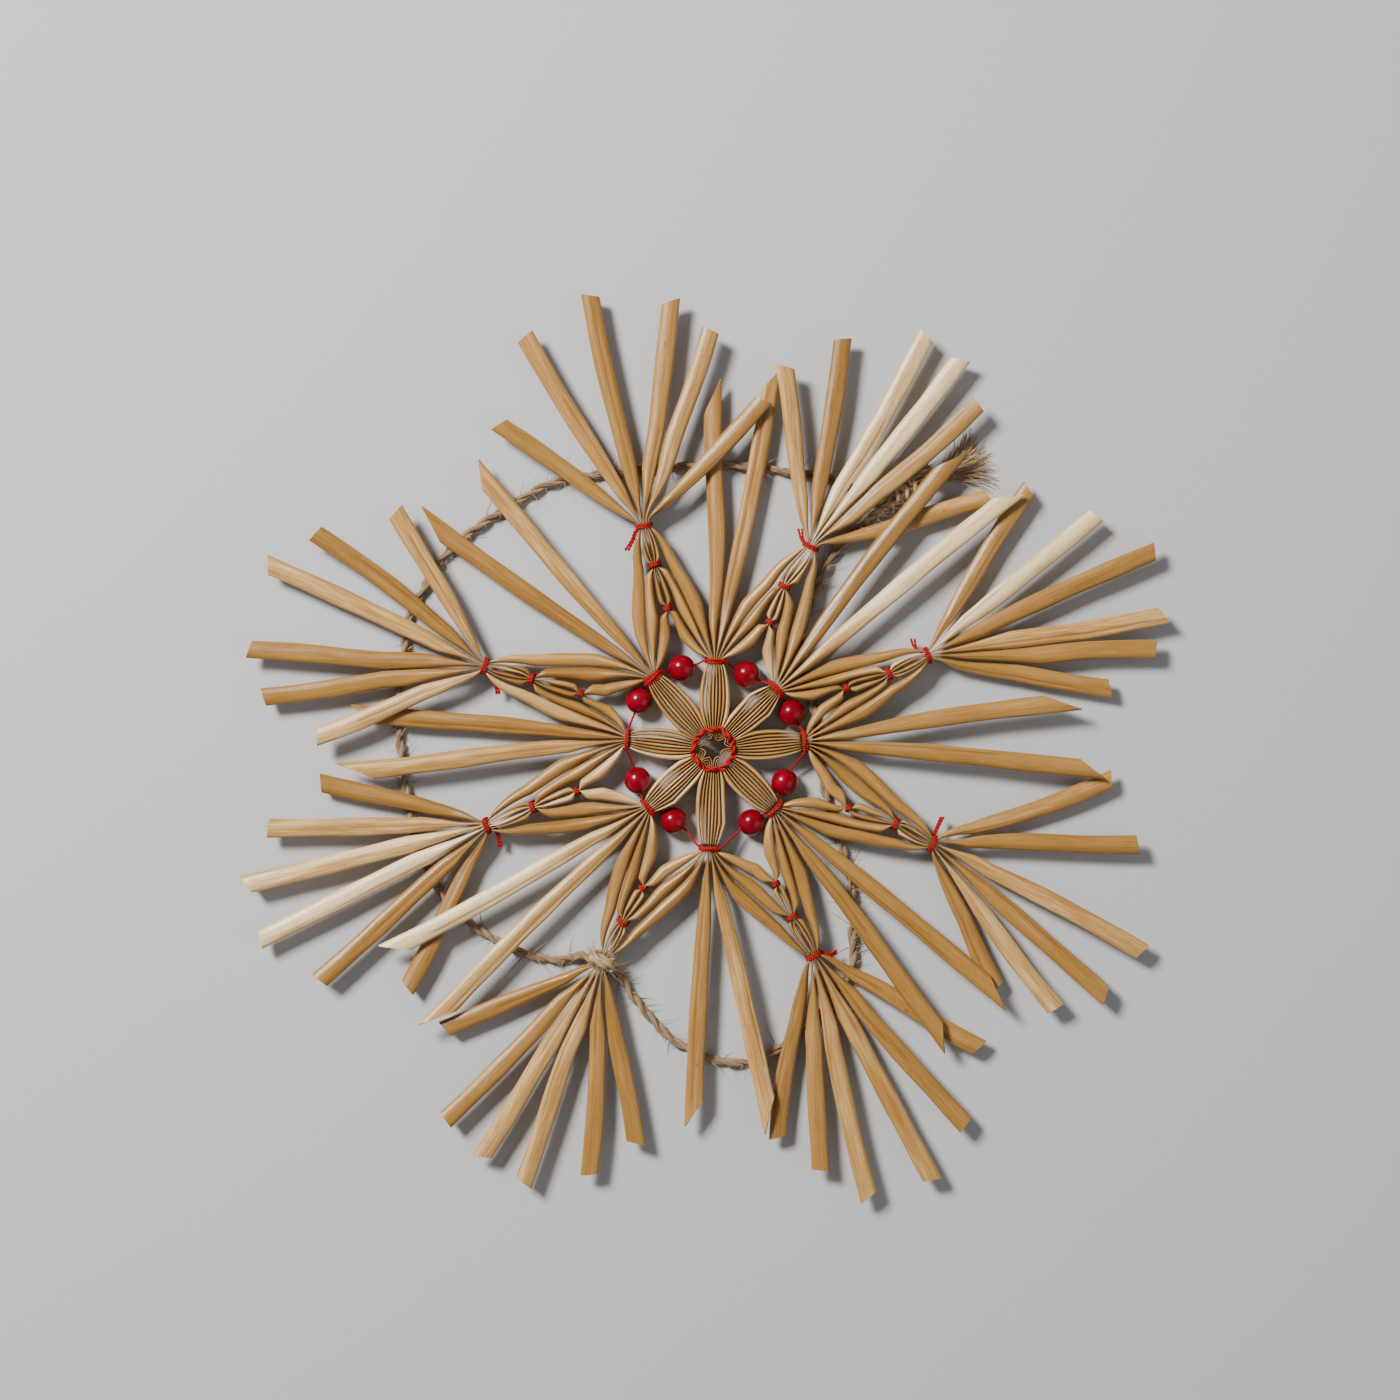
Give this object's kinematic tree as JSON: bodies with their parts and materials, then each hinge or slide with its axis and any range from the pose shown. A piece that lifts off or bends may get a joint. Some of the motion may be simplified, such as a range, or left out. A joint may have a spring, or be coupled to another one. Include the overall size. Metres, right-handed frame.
{
  "type": "straw star ornament",
  "caption": "Flat hanging star of bound straws with petals round an open eye, looped arms, fanned ends, red beads and thread and a jute hanging loop.",
  "frame": {"origin": "on the surface that the star lies on, under the middle of its outline without the twine", "axes": "+Z out of the star's face, +Y towards the picture's top, +X towards its right"},
  "size_m": [0.205, 0.2008, 0.0073],
  "materials": {
    "straw": "satin",
    "thread": "matte",
    "bead": "gloss",
    "twine": "matte"
  },
  "bodies": {
    "root": {"arm_1_inner_straw": "straw", "arm_1_second_straw": "straw", "arm_1_third_straw": "straw", "arm_1_spike_straw": "straw", "bead_1": "bead", "arm_1_binding": "thread", "arm_2_inner_straw": "straw", "arm_2_second_straw": "straw", "arm_2_third_straw": "straw", "arm_2_spike_straw": "straw", "bead_2": "bead", "arm_2_binding": "thread", "arm_3_inner_straw": "straw", "arm_3_second_straw": "straw", "arm_3_third_straw": "straw", "arm_3_spike_straw": "straw", "bead_3": "bead", "arm_3_binding": "thread", "arm_4_inner_straw": "straw", "arm_4_second_straw": "straw", "arm_4_third_straw": "straw", "arm_4_spike_straw": "straw", "bead_4": "bead", "arm_4_binding": "thread", "arm_5_inner_straw": "straw", "arm_5_second_straw": "straw", "arm_5_third_straw": "straw", "arm_5_spike_straw": "straw", "bead_5": "bead", "arm_5_binding": "thread", "arm_6_inner_straw": "straw", "arm_6_second_straw": "straw", "arm_6_third_straw": "straw", "arm_6_spike_straw": "straw", "bead_6": "bead", "arm_7_inner_straw": "straw", "arm_7_second_straw": "straw", "arm_7_third_straw": "straw", "arm_7_spike_straw": "straw", "bead_7": "bead", "arm_7_binding": "thread", "arm_8_inner_straw": "straw", "arm_8_second_straw": "straw", "arm_8_third_straw": "straw", "arm_8_spike_straw": "straw", "bead_8": "bead", "arm_8_binding": "thread", "eye_thread": "thread", "bead_thread": "thread", "twine_hitch": "twine", "twine_left": "twine", "twine_right": "twine", "twine_knot": "twine"}
  },
  "joints": []
}
